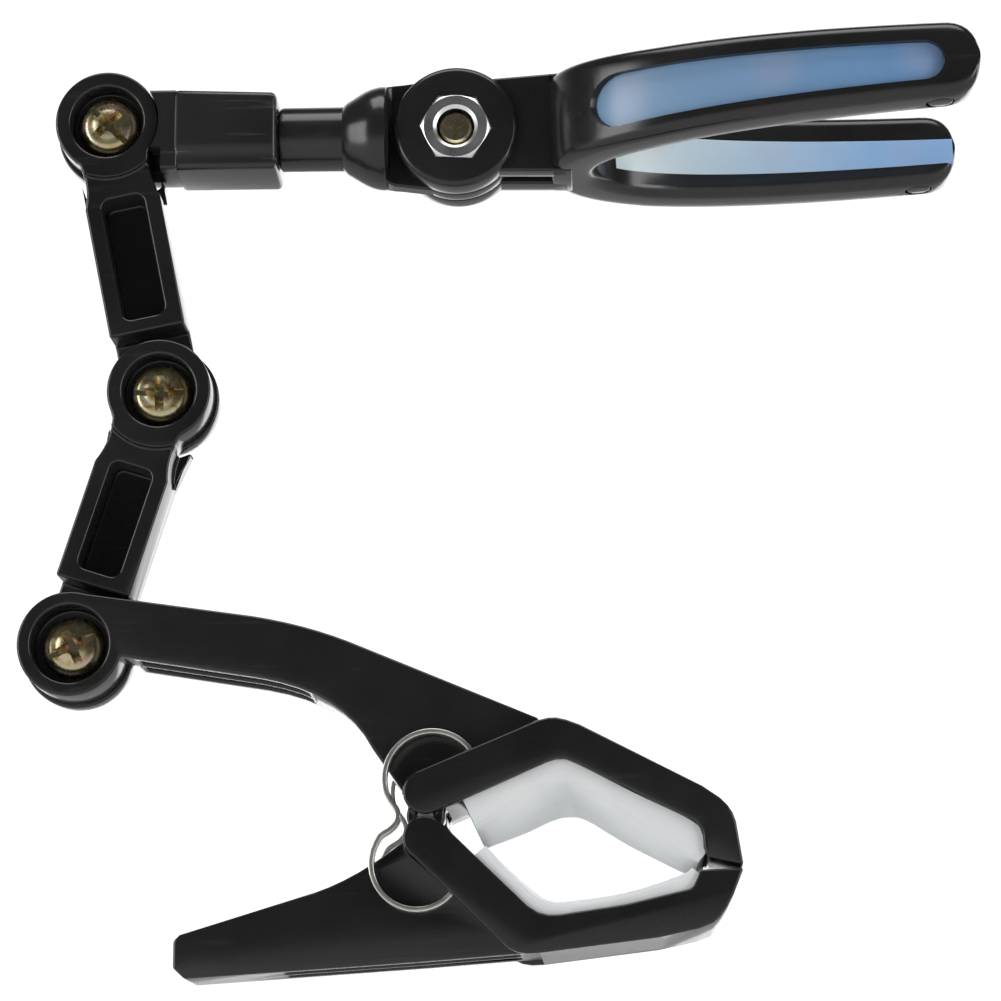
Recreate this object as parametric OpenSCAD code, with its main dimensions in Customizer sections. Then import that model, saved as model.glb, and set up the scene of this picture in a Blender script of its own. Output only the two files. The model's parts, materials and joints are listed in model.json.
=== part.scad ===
// Clip-on reading lamp: a sprung clip, two folding links, a swivel and a horseshoe
// light head. +X runs from the clip handles to the jaw tip, +Z is up and Y is the
// hinge direction. The origin is the middle of the space between the jaw pads.

/* [Arm] */
// Distance between the two hinges of the lower link
lower_link_length = 35.6; // [34:0.1:38]
// Distance between the two hinges of the upper link
upper_link_length = 37.5; // [34:0.1:39]
// Width of a link seen from the front
link_width = 10.1; // [9:0.1:11]
// Depth of a link from front to back
link_depth = 8.5; // [8:0.1:9]
// Radius of the hinge bosses on the links
boss_r = 6.85; // [6.6:0.05:7]
// Radius of the recess around a hinge screw
recess_r = 4.85; // [4.5:0.05:5]
// Angle of the lower link above the horizontal
lower_link_angle = 72.4; // [70:0.1:80]
// Angle of the upper link above the horizontal
upper_link_angle = 101.6; // [95:0.1:110]

/* [Swivel] */
// Side of the square swivel block
block_side = 10.4; // [10:0.1:11]
// Length of the swivel block
block_length = 14.2; // [13:0.1:15]
// Height of the upper hinge above the swivel axis
swivel_drop = 1.6; // [1:0.1:2]
// Radius of the visible rod
rod_r = 4.3; // [4:0.05:4.4]
// Radius of the journal that turns in the block
journal_r = 3.4; // [3:0.05:3.6]

/* [Head] */
// Nose-up tilt of the head at rest
head_tilt = 3; // [0:0.5:5]
// Outer width of the horseshoe at its tips
head_width = 45; // [44:0.5:46]
// Distance from the head hinge to the prong tips
head_reach = 67.6; // [66:0.1:69]
// Wall between the outer and the inner curve of a prong
prong_wall = 6.7; // [6.4:0.1:7]
// Half height of the head at its root
root_half_height = 6.1; // [6:0.05:6.2]
// Half height of the prongs at their tips
tip_half_height = 4.75; // [4.6:0.05:4.9]

/* [Clip] */
// Depth of the jaws
jaw_depth = 20; // [19:0.5:21]
// Depth of the handles
handle_depth = 12; // [11:0.5:12]
// Thickness of the spring strip
spring_thickness = 0.7; // [0.6:0.05:0.8]

/* [Hidden] */

$fn = 64;
black = [0.06, 0.06, 0.065];
pale_rubber = [0.86, 0.87, 0.87];
steel = [0.78, 0.77, 0.74];
yellow_zinc = [0.72, 0.62, 0.36];
zinc = [0.84, 0.86, 0.88];
milky_blue = [0.55, 0.68, 0.82];

gap = 0.1;                 // play between sliding faces
running = 0.05;            // radial play of a shaft in its bore
fn_small = 32;

// Hinge centres, from the clip upwards
lower_hinge = [-66.5, 27.5];
middle_hinge = lower_hinge
    + lower_link_length * [cos(lower_link_angle), sin(lower_link_angle)];
upper_hinge = middle_hinge
    + upper_link_length * [cos(upper_link_angle), sin(upper_link_angle)];
swivel_z = upper_hinge[1] - swivel_drop;
head_hinge = [-16.8, swivel_z];
clip_pivot = [-20.2, 4.6];

// Layers from front to back
front_y = -link_depth / 2;
split_y = 1.35;            // back face of every front boss
tongue_y = split_y + gap;  // front face of every tongue
back_y = link_depth / 2;
disc_back_r = 7.3;         // tongue discs, a little wider than the front bosses
sweep_r = 8.1;             // room around a tongue's disc
corner_sweep_r = 9.95;     // room for the square end of the next piece too

screw_r = 2;
screw_head_r = 3.85;
screw_head_h = 2.4;
hex_nut_flats = 7;
hex_nut_h = 3.2;
nut_seat_y = 2.65;
cross_w = 1;

bolt_r = 2.5;
bolt_nut_flats = 8;
bolt_nut_h = 2.7;
disc_r = 8.25;
ear_front_y = -5.2;
ear_back_y = 4.9;
ear_inner_y = 1.45;

// ---------- shared shapes ----------

// A plate from y0 to y1 whose outline is drawn with x across and z up
module plate(y0, y1) {
    translate([0, y1, 0]) rotate([90, 0, 0]) linear_extrude(y1 - y0) children();
}

// A round bar along Y through the point p = [x, z]
module bar_y(p, r, y0, y1, fn = $fn) {
    translate([p[0], y1, p[1]]) rotate([90, 0, 0]) cylinder(r = r, h = y1 - y0, $fn = fn);
}

function hex_r(flats) = flats / 2 / cos(30);

// Points of a soft bend from p0 to p2 that leaves towards p1
function bend(p0, p1, p2, n = 8) = [
    for (i = [0:n]) let (t = i / n)
        (1 - t) * (1 - t) * p0 + 2 * t * (1 - t) * p1 + t * t * p2
];

// Points of an arc around c
function arc(c, r, a0, a1, n = 8) = [
    for (i = [0:n]) let (a = a0 + (a1 - a0) * i / n) c + r * [cos(a), sin(a)]
];

// ---------- links ----------

pocket_from = 10.6;
pocket_w = 5.7;
pocket_depth = 5;
body_gap = 8.3;            // from a link's square end to the next hinge
plateau_r = 7.8;
plateau_rise = 0.35;

// One link: front boss at the origin, tongue hole at [length, 0]
module link(length, room_r) {
    half = link_width / 2;
    body_end = length - body_gap;
    face_y = front_y + plateau_rise;
    difference() {
        union() {
            plate(front_y, split_y) circle(boss_r);
            plate(face_y, split_y) difference() {
                translate([0, -half]) square([body_end, link_width]);
                neck_sides();
            }
            plate(front_y, split_y) intersection() {
                difference() {
                    translate([0, -half]) square([body_end, link_width]);
                    neck_sides();
                }
                circle(plateau_r);
            }
            plate(split_y, back_y) difference() {
                union() {
                    translate([0, -half]) square([body_end, link_width]);
                    polygon([[11.3, -half], [11.3, half], [6, half + 0.75], [6, -half - 0.75]]);
                }
                circle(room_r);
            }
            plate(tongue_y, back_y) {
                translate([body_end - 1, -half]) square([body_gap + 1, link_width]);
                translate([length, 0]) circle(disc_back_r);
            }
        }
        bar_y([0, 0], recess_r, front_y - 1, front_y + 3.2);
        bar_y([0, 0], screw_r + running, -10, 10);
        bar_y([length, 0], screw_r + 0.02, -10, 10);
        bar_y([length, 0], hex_r(hex_nut_flats + 0.1), nut_seat_y, 10, 6);
        plate(front_y - 1, face_y + pocket_depth) link_pocket(length - 10.2);
    }
}

// Hollows that narrow the front of a link beside its boss
module neck_sides() {
    for (z = [-1, 1]) translate([7.6, z * (link_width / 2 + 9.4)]) circle(10.1);
}

module link_pocket(pocket_to) {
    corner = 1.2;
    for (x = [pocket_from + corner, pocket_to - corner], z = [-1, 1])
        translate([x, z * (pocket_w / 2 - corner)]) circle(corner, $fn = fn_small);
    translate([pocket_from + corner, -pocket_w / 2])
        square([pocket_to - pocket_from - 2 * corner, pocket_w]);
    translate([pocket_from, corner - pocket_w / 2])
        square([pocket_to - pocket_from, pocket_w - 2 * corner]);
}

// Puts a link's boss on p with its tongue towards the hinge below
module place_link(p, angle) {
    translate([p[0], 0, p[1]]) rotate([0, 180 - angle, 0]) children();
}

module lower_link() { color(black) place_link(middle_hinge, lower_link_angle) link(lower_link_length, sweep_r); }
module upper_link() { color(black) place_link(upper_hinge, upper_link_angle) link(upper_link_length, corner_sweep_r); }

// ---------- hinge screws and nuts ----------

// Pan head screw along Y whose head rests on seat_y
module hinge_screw(p, seat_y, turn) {
    top_y = seat_y - screw_head_h;
    color(yellow_zinc) difference() {
        union() {
            bar_y(p, screw_r, seat_y - 0.5, 6.2);
            bar_y(p, screw_head_r, top_y + 0.7, seat_y);
            translate([p[0], top_y + 0.7, p[1]]) rotate([90, 0, 0])
                cylinder(r1 = screw_head_r, r2 = screw_head_r - 0.9, h = 0.7);
        }
        translate([p[0], 0, p[1]]) rotate([0, turn, 0]) for (a = [0, 90]) rotate([0, a, 0])
            translate([-2.6, top_y - 1, -cross_w / 2]) cube([5.2, 2.3, cross_w]);
    }
}

module hinge_nut(p, angle) {
    color(yellow_zinc) translate([p[0], 0, p[1]]) rotate([0, 180 - angle, 0])
        difference() {
            intersection() {
                bar_y([0, 0], hex_r(hex_nut_flats), nut_seat_y, nut_seat_y + hex_nut_h, 6);
                bar_y([0, 0], hex_r(hex_nut_flats) - 0.15, nut_seat_y - 1, nut_seat_y + 5);
            }
            bar_y([0, 0], screw_r + 0.01, 0, 10);
        }
}

link_seat_y = front_y + 3.2;
clip_seat_y = -handle_depth / 2 + 4;

module lower_hinge_screw() { hinge_screw(lower_hinge, clip_seat_y, 20); }
module middle_hinge_screw() { hinge_screw(middle_hinge, link_seat_y, 0); }
module upper_hinge_screw() { hinge_screw(upper_hinge, link_seat_y, 45); }
module lower_hinge_nut() { hinge_nut(lower_hinge, lower_link_angle); }
module middle_hinge_nut() { hinge_nut(middle_hinge, upper_link_angle); }
module upper_hinge_nut() { hinge_nut(upper_hinge, 180); }

// ---------- swivel ----------

block_right = -39.7;
block_left = block_right - block_length;
washer_seat = block_left + 3.2;     // inner face that the washer rests on
rod_end = -31.8;
collar_end = -26;
collar_r = 6.95;

// A bar along X, centred on the swivel axis
module bar_x(r, x0, x1, fn = $fn) {
    translate([x0, 0, swivel_z]) rotate([0, 90, 0]) cylinder(r = r, h = x1 - x0, $fn = fn);
}

block_back = 6.3;
module swivel_block() {
    half = block_side / 2;
    corner = 1.2;
    step_depth = 0.35;
    lift = 0.5;            // the top rises towards the hinge
    color(black) difference() {
        union() {
            // block with rounded long edges
            translate([block_left, 0, swivel_z]) rotate([90, 0, 90])
                linear_extrude(block_length) {
                    translate([-half, corner - half])
                        square([half + block_back, block_side + lift - 2 * corner]);
                    translate([corner - half, -half])
                        square([half + block_back - 2 * corner, block_side + lift]);
                    for (y = [corner - half, block_back - corner], z = [corner - half, half + lift - corner])
                        translate([y, z]) circle(corner, $fn = fn_small);
                }
            // its front runs on to the boss of the upper link
            plate(-half + 0.35, back_y) difference() {
                translate([upper_hinge[0], swivel_z - half])
                    square([block_left - upper_hinge[0] + 1, block_side + lift]);
                translate(upper_hinge) circle(boss_r + 0.15);
                translate([upper_hinge[0], swivel_z - half - 1]) square([7.35, 4]);
            }
            // tongue to the upper hinge
            plate(tongue_y, back_y) {
                translate(upper_hinge) circle(disc_back_r);
                translate([upper_hinge[0], swivel_z - half])
                    square([block_left - upper_hinge[0] + 1, block_side]);
            }
        }
        // the top slopes down to the rod
        plate(-20, 20) polygon([
            [block_right + 1, swivel_z + half], [block_right, swivel_z + half],
            [block_left - 8, swivel_z + half + lift], [block_left - 8, swivel_z + 20],
            [block_right + 1, swivel_z + 20]]);
        // the front face is stepped back below the middle
        translate([block_left - 1, -half - 1, swivel_z - half - 1])
            cube([block_length + 2, 1 + step_depth, half + 1 - 0.2]);
        bar_x(journal_r + running, washer_seat, block_right + 1);
        bar_x(1.9, block_left + 1, washer_seat + 1);
        bar_x(3.3, block_left - 3.2, washer_seat - 1);
        bar_y(upper_hinge, screw_r + 0.02, -10, 10);
        bar_y(upper_hinge, hex_r(hex_nut_flats + 0.1), nut_seat_y, 10, 6);
        // room for the front boss
        plate(-10, split_y + 0.05) translate(upper_hinge) circle(boss_r + 0.15);
    }
}

module swivel_rod() {
    color(black) difference() {
        union() {
            bar_x(journal_r, washer_seat + gap, block_right + 1);
            bar_x(1.85, block_left + 2.2 - gap, washer_seat + 0.5);
            bar_x(rod_r, block_right + gap, rod_end + 0.5);
            // bell collar: a turned profile that swells towards the head
            translate([0, 0, swivel_z]) rotate([0, 90, 0]) rotate_extrude()
                polygon(concat(
                    [[0, rod_end], [rod_r + 0.15, rod_end]],
                    bend([rod_r + 0.15, rod_end], [rod_r + 0.7, rod_end + 0.6],
                         [rod_r + 0.9, rod_end + 1.4], 4),
                    bend([rod_r + 0.9, rod_end + 1.4], [collar_r - 0.5, rod_end + 3.2],
                         [collar_r, collar_end], 5),
                    [[0, collar_end]]));
            // tongue between the head's ears
            plate(-split_y, split_y) {
                translate(head_hinge) circle(8.25);
                polygon([
                    [collar_end - 1, swivel_z - collar_r], [collar_end - 1, swivel_z + collar_r],
                    [head_hinge[0] - 3.2, swivel_z + 7.6], [head_hinge[0], swivel_z],
                    [head_hinge[0] - 3.2, swivel_z - 7.6]]);
            }
        }
        bar_y(head_hinge, bolt_r + running, -10, 10);
        bar_x(1, block_left, block_left + 8, fn_small);
        // the head's discs and ears turn here
        for (y0 = [-10, ear_inner_y - gap]) plate(y0, y0 + 10 - ear_inner_y + gap)
            translate(head_hinge) circle(disc_r + 0.1);
    }
}

module swivel_washer() {
    color(zinc) difference() {
        bar_x(3, block_left + 1.7, block_left + 2.1, fn_small);
        bar_x(1.1, block_left, block_left + 5, fn_small);
    }
}

module swivel_screw() {
    color(zinc) difference() {
        union() {
            bar_x(2.2, block_left + 0.4, block_left + 1.7, fn_small);
            bar_x(0.98, block_left + 1.6, block_left + 7.5, fn_small);
        }
        translate([block_left - 1, -0.3, swivel_z - 1.6]) cube([2, 0.6, 3.2]);
    }
}

// ---------- head ----------
// Drawn around the head hinge, with x towards the tips

tip_r = tip_half_height;
tip_z = -0.4;              // the tips sit a little below the hinge's height
straight_to = head_reach - tip_r;
outer_root = 12;           // where the outer curve would close
curve_power = 2.3;         // how square the horseshoe's bend is
ellipse_x = 66;            // station of the curves' widest point
rim_t = 1.3;               // outer wall behind the diffuser
inner_a = 47.7;
outer_b = head_width / 2;
outer_a = ellipse_x - outer_root;
inner_b = outer_b - prong_wall;
channel_from = 22.4;
strip_a = 49;
strip_b = 18.6;
strip_t = 0.4;
led_stations = [24.6, 42.2, 60.6];
switch_station = 62.4;
switch_r = 1.7;

module place_head() {
    translate([head_hinge[0], 0, head_hinge[1]]) rotate([0, -head_tilt, 0]) children();
}

// Half width of a horseshoe curve at station x
function half_width(a, b, x) =
    b * pow(max(0, 1 - pow(max(0, (ellipse_x - x) / a), curve_power)), 1 / curve_power);

// Outline in plan of everything inside a horseshoe curve, out to x_end
module curve_plan(a, b, x_end, n = 22) {
    start = ellipse_x - a;
    stations = [for (i = [0:n]) start + (x_end - start) * pow(i / n, 2)];
    polygon(concat(
        [for (x = stations) [x, half_width(a, b, x)]],
        [for (i = [n:-1:1]) [stations[i], -half_width(a, b, stations[i])]]));
}

// Band in plan between two horseshoe curves
module band_plan(outer, inner, x0, x1) {
    intersection() {
        difference() {
            curve_plan(outer[0], outer[1], x1);
            curve_plan(inner[0], inner[1], x1 + 10);
        }
        translate([x0, -40]) square([x1 - x0, 80]);
    }
}

// Side outline of the head, optionally drawn smaller by d all round
module head_side() {
    polygon([
        [0, -root_half_height], [25, -root_half_height], [straight_to, tip_z - tip_half_height],
        [straight_to, tip_z + tip_half_height], [0, root_half_height]]);
    translate([straight_to, tip_z]) circle(tip_r);
}

// Tapered side outline with half heights h0 at x0 and h1 at x1
module taper(x0, h0, x1, h1) {
    polygon([[x0, -h0], [x1, -h1], [x1, h1], [x0, h0]]);
}

// Window in the outer face: a long tapered slot with round ends
window = [[22.1, 3.6], [60.4, 2.6]];
window_z = -0.4;
module window_side(shrink = 0) {
    for (e = window) translate([e[0], window_z]) circle(e[1] - shrink);
    translate([0, window_z])
        taper(window[0][0], window[0][1] - shrink, window[1][0], window[1][1] - shrink);
}

// The part of a window that lies within the outer wall
module window_recess(shrink = 0) {
    intersection() {
        translate([0, 0, -10]) linear_extrude(20) difference() {
            square([200, 80], center = true);
            curve_plan(outer_a - 2.6, outer_b - 2.6, head_reach + 2);
        }
        plate(-30, 30) window_side(shrink);
    }
}

// One prong's share of a shape: side is -1 near, 1 far
module prong_side(side) {
    intersection() {
        children();
        translate([12, side > 0 ? 0 : -40, -20]) cube([70, 40, 40]);
    }
}

module cell_pocket() {
    translate([13.4, -5.1, -4.9]) cube([4, 10.2, 20]);
}

hatch = [13.2, 17.6];
module hatch_room(play = 0) {
    translate([hatch[0] - play, -5.6 - play, 4.6])
        cube([hatch[1] - hatch[0] + 2 * play, 11.2 + 2 * play, 3]);
}

module head_frame() {
    color(black) place_head() difference() {
        union() {
            intersection() {
                translate([0, 0, -10]) linear_extrude(20) band_plan(
                    [outer_a, outer_b], [inner_a, inner_b], outer_root, head_reach + 1);
                plate(-30, 30) head_side();
            }
            for (s = [[ear_front_y + 0.9, -ear_inner_y], [ear_inner_y, ear_back_y]])
                plate(s[0], s[1]) taper(0, 5.95, 14, 6);
            bar_y([0, 0], disc_r, ear_front_y, -ear_inner_y);
            bar_y([0, 0], disc_r, ear_inner_y, ear_back_y);
            plate(ear_front_y + 0.9, ear_back_y) taper(12.3, 6, 14.5, 6);
        }
        bar_y([0, 0], bolt_r + 0.02, -10, 10);
        bar_y([0, 0], hex_r(bolt_nut_flats + 0.1), -10, ear_front_y + bolt_nut_h + 0.05, 6);
        bar_y([0, 0], 4.8, ear_back_y - 1, 10);
        // diffuser channels, open towards the inside and at the tips
        intersection() {
            translate([0, 0, -10]) linear_extrude(20) difference() {
                curve_plan(outer_a - rim_t, outer_b - rim_t, head_reach + 2);
                translate([-1, -40]) square([channel_from + 1, 80]);
            }
            plate(-30, 30) taper(channel_from, 3.5, head_reach + 2, 2.15);
        }
        window_recess();
        // passage for the light strip around the bend
        intersection() {
            translate([0, 0, -1.5]) linear_extrude(3.4) band_plan(
                [strip_a + 0.4, strip_b + 0.4], [strip_a - 1, strip_b - 1], 12, 30);
            plate(-30, 30) taper(0, 2, 40, 2);
        }
        cell_pocket();
        hatch_room(0.05);
        for (y = [-1, 1]) translate([switch_station, y * switch_y, -10])
            cylinder(r = switch_r + running, h = 9);
    }
}

switch_y = half_width(outer_a, outer_b, switch_station) - prong_wall / 2 - 0.3;

module head_bolt() {
    color(zinc) place_head() difference() {
        union() {
            bar_y([0, 0], bolt_r, ear_front_y + 0.6, ear_back_y);
            bar_y([0, 0], 4.6, ear_back_y - 1, ear_back_y + 0.8);
            translate([0, ear_back_y + 1.7, 0]) rotate([90, 0, 0])
                cylinder(r1 = 3.7, r2 = 4.6, h = 0.9);
        }
        for (a = [0, 90]) rotate([0, a, 0])
            translate([-2.8, ear_back_y, -0.6]) cube([5.6, 3, 1.2]);
    }
}

module head_nut() {
    r = hex_r(bolt_nut_flats);
    color(zinc) place_head() difference() {
        intersection() {
            bar_y([0, 0], r, ear_front_y, ear_front_y + bolt_nut_h, 6);
            bar_y([0, 0], r - 0.15, ear_front_y - 1, ear_front_y + 5);
        }
        bar_y([0, 0], bolt_r + 0.01, -10, 10);
        translate([0, ear_front_y + 0.5, 0]) rotate([90, 0, 0])
            cylinder(r1 = bolt_r, r2 = 3, h = 0.6);
    }
}

module battery_hatch() {
    color(black) place_head() difference() {
        intersection() {
            hatch_room();
            plate(-30, 30) head_side();
        }
        translate([15.4, 0, 6.6]) rotate([90, 0, 0]) cylinder(r = 1, h = 4, center = true);
    }
}

module coin_cell() {
    color(steel) place_head() {
        translate([13.75, 0, -0.1]) rotate([0, 90, 0]) cylinder(r = 4.1, h = 0.5);
        translate([14.2, 0, -0.1]) rotate([0, 90, 0]) cylinder(r = 4.65, h = 2.2);
    }
}

module plus_contact() {
    color(steel) place_head() translate([16.42, -2, -4.6]) cube([0.15, 4, 8]);
}

module minus_contact() {
    color(steel) place_head() translate([13.55, -2, -4.6]) cube([0.15, 4, 8]);
}

module led_strip() {
    color("white") place_head() translate([0, 0, -1.1]) linear_extrude(2.7)
        band_plan([strip_a, strip_b], [strip_a - strip_t, strip_b - strip_t], 12, 62.2);
}

module led_chips() {
    color([1, 0.93, 0.85]) place_head() for (side = [-1, 1], x = led_stations) {
        y = half_width(strip_a, strip_b, x);
        slope = atan2(half_width(strip_a, strip_b, x + 0.5) - half_width(strip_a, strip_b, x - 0.5), 1);
        translate([x, side * y, 0]) rotate([0, 0, side * slope])
            translate([-1.4, side > 0 ? 0.12 : -1.02, -1]) cube([2.8, 0.9, 2]);
    }
}

// Milky block that fills a prong's channel and its outer window
module diffuser(side) {
    slack = 0.05;
    color(milky_blue) place_head() difference() {
        prong_side(side) intersection() {
            translate([0, 0, -10]) linear_extrude(20) difference() {
                curve_plan(outer_a - 0.8, outer_b - 0.8, head_reach);
                curve_plan(inner_a + 0.15, inner_b + 0.15, head_reach + 10);
            }
            union() {
                intersection() {
                    plate(-30, 30)
                        taper(channel_from + slack, 3.5 - slack, head_reach, 2.15 - slack);
                    translate([0, 0, -10]) linear_extrude(20) curve_plan(
                        outer_a - rim_t - slack, outer_b - rim_t - slack, head_reach);
                }
                window_recess(slack);
            }
            plate(-30, 30) head_side();
        }
        // slot for the light strip and its chips
        translate([0, 0, -1.4]) linear_extrude(3.2) band_plan(
            [strip_a + 1.3, strip_b + 1.3], [strip_a - 0.8, strip_b - 0.8], 12, 62.5);
        translate([switch_station, side * switch_y, -10]) cylinder(r = switch_r + 0.4, h = 9.1);
    }
}
module near_diffuser() { diffuser(-1); }
module far_diffuser() { diffuser(1); }

module switch_button(side) {
    color(black) place_head() translate([switch_station, side * switch_y, -5.05])
        cylinder(r = switch_r, h = 2.3);
}
module near_switch_button() { switch_button(-1); }
module far_switch_button() { switch_button(1); }

module switch_dome(side) {
    color(steel) place_head() translate([switch_station, side * switch_y, -1.9]) {
        cylinder(r = 1.7, h = 0.7);
        translate([0, 0, -0.25]) cylinder(r = 0.9, h = 0.4);
    }
}
module near_switch_dome() { switch_dome(-1); }
module far_switch_dome() { switch_dome(1); }

// ---------- clip ----------

rim_y = 8.6;               // the jaw rims lie outside this
jaw_y = jaw_depth / 2;
grip_y = handle_depth / 2;
knuckle_r = 2.4;
knuckle_y = 3.9;
pin_r = 1;
channel_step = 1.2;        // the jaw's back is this far below its rims
end_r = 2.8;               // round ends of the jaws, at the pivot
touch_gap = 0.25;

upper_end = clip_pivot + [0, end_r + touch_gap / 2];
lower_end = clip_pivot - [0, end_r + touch_gap / 2];

// Jaw outlines, counted from the pivot end: outer edge, then the inner edge back
upper_jaw_outer = concat([[-5.9, 16.6]], bend([-4.6, 16.9], [-3.4, 17.2], [-0.6, 16], 3),
    [[14.8, 8.1]], bend([17, 6.6], [18.6, 5.3], [19, 3.6], 3), [[19.9, -1.9]]);
upper_jaw_inner = concat([[15.5, -1], [14.9, 0.3], [14.8, 2.3], [13.9, 3.6]],
    bend([-1.5, 11.3], [-3.2, 12.1], [-4.8, 11.2], 3));
lower_jaw_outer = concat([[-11, -11]], bend([-9.6, -12.3], [-8.2, -13.2], [-5.9, -12.9], 3),
    [[9.2, -11], [14.2, -9.9]], bend([16, -9.2], [17.4, -8.3], [18.6, -5.6], 3), [[19.9, -2.3]]);
lower_jaw_inner = concat([[14.5, -2.5], [13.5, -4.8], [5.1, -6.8]],
    bend([-3.2, -8.05], [-5.4, -8.4], [-7.2, -7], 3));

// Outline of a jaw from its round end at the pivot to the tip; step lowers the back
module upper_jaw_outline(step = 0) {
    difference() {
        union() {
            translate(upper_end) circle(end_r);
            polygon(concat(
                [upper_end + [-1.2, 2.53]], upper_jaw_outer, upper_jaw_inner,
                [upper_end + [1.1, -2.57]]));
        }
        if (step > 0) polygon([[-30, 4.5], [-24, 7.5], [-20.7, 9], [-6.9, 15.1], [-6.9, 30], [-30, 30]]);
    }
}

module lower_jaw_outline(step = 0) {
    difference() {
        union() {
            translate(lower_end) circle(end_r);
            polygon(concat(
                [lower_end + [-2.2, -1.73]], lower_jaw_outer, lower_jaw_inner,
                [lower_end + [1.9, 2.05]]));
        }
        if (step > 0) polygon([
            [-30, 0], [-22.2, 0], [-10.6, -9.9], [-8.6, -11.5], [-5.4, -11.7],
            [9.5, -9.7], [9.5, -30], [-30, -30]]);
    }
}

// Outline of the upper handle, from the hinge boss to the jaw
module upper_handle_outline() {
    polygon(concat(
        [lower_hinge + [0, 6.85], [-59, 33.25]],
        bend([-45, 31.3], [-36, 30.1], [-28.5, 26.8]),
        [[-5.9, 17.4], [-5.9, 15], [-19.5, 8.3], [-22.8, 7.2], [-23, 7.6]],
        bend([-27.2, 13.6], [-31, 21], [-41.7, 22.9]),
        [[-60, 25.8], lower_hinge + [0, -6.85]]));
    translate(lower_hinge) circle(6.85);
}

// Outline of the lower handle, from its square end to the jaw
module lower_handle_outline() {
    polygon(concat(
        [[-50.9, -15.7], [-52.4, -14.3], [-52.4, -10.9], [-51.6, -10.1]],
        bend([-34.5, -4.8], [-29, -3], [-22.9, 1.9], 6),
        [[-20.3, 0.2], [-9.5, -10.4], [-5.6, -12], [-5.2, -12.4], [-20.5, -13.6]]));
}

// Long pockets in the underside of a handle, either side of a middle rib
module handle_pockets(outline) {
    for (y = [[0.6, 4.2], [-4.2, -0.6]]) plate(y[0], y[1]) polygon(outline);
}

// Barrel at the pivot between y0 and y1, joined to its jaw by a short web
module knuckle(y0, y1, up) {
    bar_y(clip_pivot, knuckle_r, y0, y1);
    plate(y0, y1) polygon([
        clip_pivot + [0, up * 0.3], clip_pivot + [2.3, up * 0.6],
        clip_pivot + [4.4, up * 3.4], clip_pivot + [1.5, up * 4], clip_pivot + [-1.5, up * 4]]);
}

module upper_clip_half() {
    color(black) difference() {
        union() {
            plate(-jaw_y, -rim_y) upper_jaw_outline();
            plate(rim_y, jaw_y) upper_jaw_outline();
            plate(-rim_y, rim_y) upper_jaw_outline(channel_step);
            plate(-grip_y, split_y) upper_handle_outline();
            plate(split_y, grip_y) difference() {
                upper_handle_outline();
                translate(lower_hinge) circle(sweep_r);
                intersection() {
                    translate(lower_hinge) circle(corner_sweep_r);
                    translate(lower_hinge) square([20, 20]);
                }
            }
            for (y = [-rim_y, knuckle_y + 0.2]) knuckle(y, y + rim_y - knuckle_y - 0.2, 1);
        }
        bar_y(lower_hinge, 5.1, -20, clip_seat_y);
        bar_y(lower_hinge, screw_r + running, -20, 20);
        bar_y(clip_pivot, pin_r + 0.01, -rim_y - 0.1, rim_y + 0.1);
        plate(-knuckle_y - 0.1, knuckle_y + 0.1) translate(clip_pivot) circle(knuckle_r + 0.15);
        handle_pockets([[-57.5, 20], [-57.5, 29], [-42, 26.6], [-36, 24.2], [-35, 15]]);
    }
}

module lower_clip_half() {
    color(black) difference() {
        union() {
            plate(-jaw_y, -rim_y) lower_jaw_outline();
            plate(rim_y, jaw_y) lower_jaw_outline();
            plate(-rim_y, rim_y) lower_jaw_outline(channel_step);
            plate(-grip_y, grip_y) lower_handle_outline();
            knuckle(-knuckle_y, knuckle_y, -1);
        }
        bar_y(clip_pivot, pin_r + running, -rim_y - 0.1, rim_y + 0.1);
        for (y = [-rim_y - 0.05, knuckle_y + 0.1])
            plate(y, y + rim_y - knuckle_y - 0.05)
                translate(clip_pivot) circle(knuckle_r + 0.15);
        handle_pockets([[-38.5, -20], [-38.5, -9.5], [-24, -5.5], [-14, -10.6], [-8.6, -12.3], [-6.8, -20]]);
    }
}

module clip_pin() { color(steel) bar_y(clip_pivot, pin_r, -rim_y + 0.05, rim_y - 0.05, fn_small); }

module upper_jaw_pad() {
    color(pale_rubber) plate(-9.3, 9.3) difference() {
        polygon([[-12.9, 8.1], [-4.8, 11.6], [-3.2, 12.5], [-1.3, 11.7], [14.2, 3.95],
            [15.2, 2.4], [12.6, -1.2], [10.8, -0.6], [0.2, 6], [-2.4, 6.3], [-12, 1.9], [-13.4, 4.6]]);
        upper_jaw_outline();
    }
}

module lower_jaw_pad() {
    color(pale_rubber) plate(-9.3, 9.3) difference() {
        polygon([[-14.9, 0.1], [-7.6, -7.2], [-5.4, -8.8], [-3, -8.5], [5.2, -7.3], [13.7, -5.2],
            [14.6, -2.9], [12.4, -2.3], [4.6, -4.6], [-3.4, -5.7], [-5, -5.4], [-11.8, 0.6], [-13, 1.6]]);
        lower_jaw_outline();
    }
}

// Centre line of a spring strip, from its upper end round two loops to its lower end
spring_line = concat(
    [[-9.5, 14.35], [-13.4, 12.75]],
    arc([-19, 10], 5.9, 38, 180, 12),
    bend([-24.9, 9.4], [-24.8, 7.4], [-23.8, 6.1], 4),
    bend([-23.6, 5.2], [-23.8, 3.8], [-25.4, 2.4], 4),
    arc([-21.3, -1.4], 5.7, 138, 294, 12));

// Band of even thickness along a line of points
module ribbon(line, t) {
    for (i = [0:len(line) - 2]) let (a = line[i], b = line[i + 1], d = b - a)
        translate(a) rotate(atan2(d[1], d[0])) {
            translate([0, -t / 2]) square([norm(d), t]);
            circle(t / 2, $fn = 12);
        }
    translate(line[len(line) - 1]) circle(t / 2, $fn = 12);
}

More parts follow.
